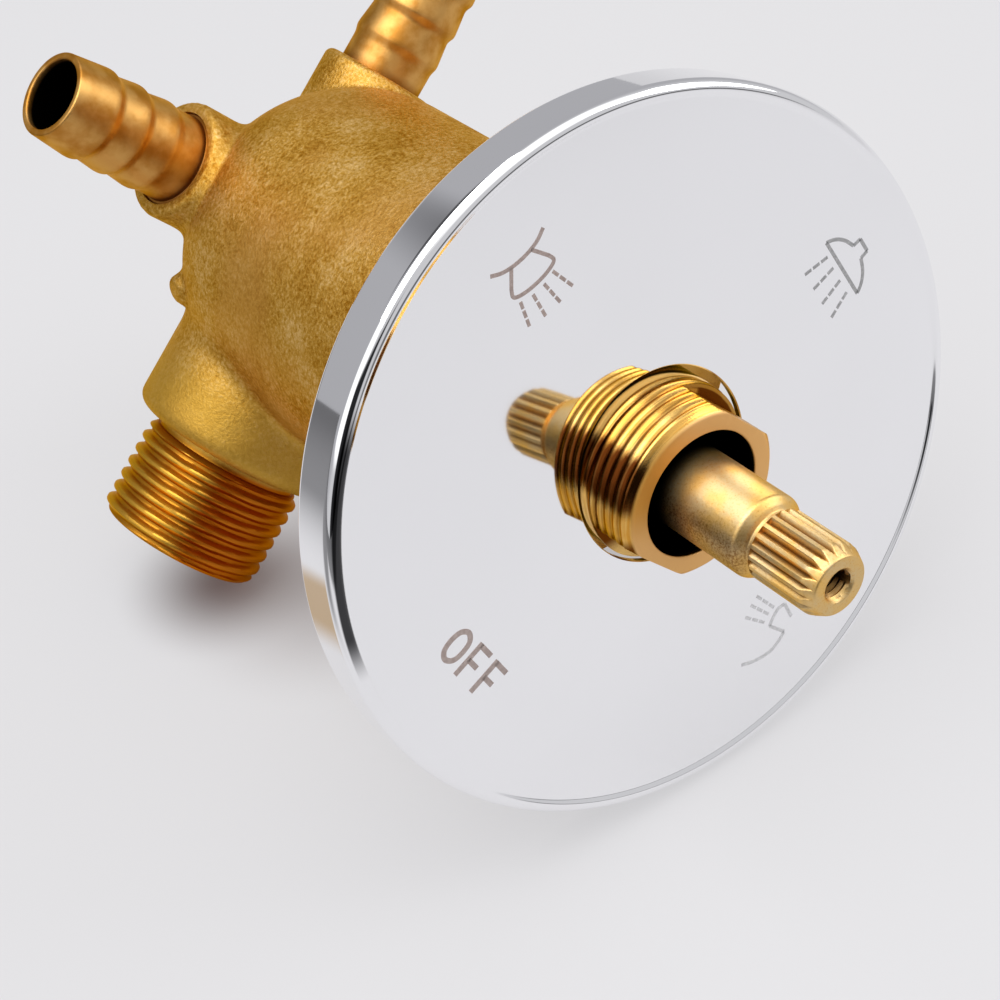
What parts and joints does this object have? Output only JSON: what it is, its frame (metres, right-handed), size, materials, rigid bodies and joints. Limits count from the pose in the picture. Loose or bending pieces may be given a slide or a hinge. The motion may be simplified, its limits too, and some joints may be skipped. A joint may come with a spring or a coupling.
{
  "type": "shower selector valve",
  "caption": "Concealed shower selector valve: domed cast brass body with a threaded inlet and hose-barb outlets, threaded neck, splined spindle over ceramic discs, and a round chromed wall plate",
  "frame": {"origin": "On the spindle's axis, in the plane of the finished wall, 12.4 mm behind the front of the neck", "axes": "-Y points out of the wall along the spindle, +Z is midway between the two upper outlets, +X is to the right seen from the front"},
  "size_m": [0.0801, 0.1056, 0.08],
  "materials": {
    "cast_brass": "sand cast and blasted, matt grain",
    "turned_brass": "turned, bright, with stains",
    "barb_brass": "turned, tarnished red-brown",
    "clip_steel": "spring steel",
    "seal_rubber": "black rubber",
    "washer_plastic": "smooth white plastic",
    "disc_ceramic": "lapped ceramic",
    "plate_chrome": "mirror chrome with etched marks"
  },
  "bodies": {
    "valve": {"valve_body": "cast_brass", "bonnet": "turned_brass", "bonnet_seal": "seal_rubber", "fixed_disc": "disc_ceramic", "seat_seal_upper_left": "seal_rubber", "seat_seal_upper_right": "seal_rubber", "seat_seal_lower_right": "seal_rubber", "hose_barb_upper_left": "barb_brass", "hose_barb_upper_right": "barb_brass", "hose_barb_lower_right": "barb_brass", "barb_washer_upper_left": "washer_plastic", "barb_washer_upper_right": "washer_plastic", "barb_washer_lower_right": "washer_plastic", "wall_plate": "plate_chrome"},
    "stem": {"spindle": "turned_brass", "spindle_clip": "clip_steel", "thrust_washer": "washer_plastic", "spindle_ring_front": "seal_rubber", "spindle_ring_rear": "seal_rubber", "disc_driver": "turned_brass", "moving_disc": "disc_ceramic"}
  },
  "joints": [
    {"name": "spindle_turn", "type": "hinge", "parent": "valve", "child": "stem", "pos_m": [0, 0, 0], "axis": [0, -1, 0], "continuous": true}
  ]
}
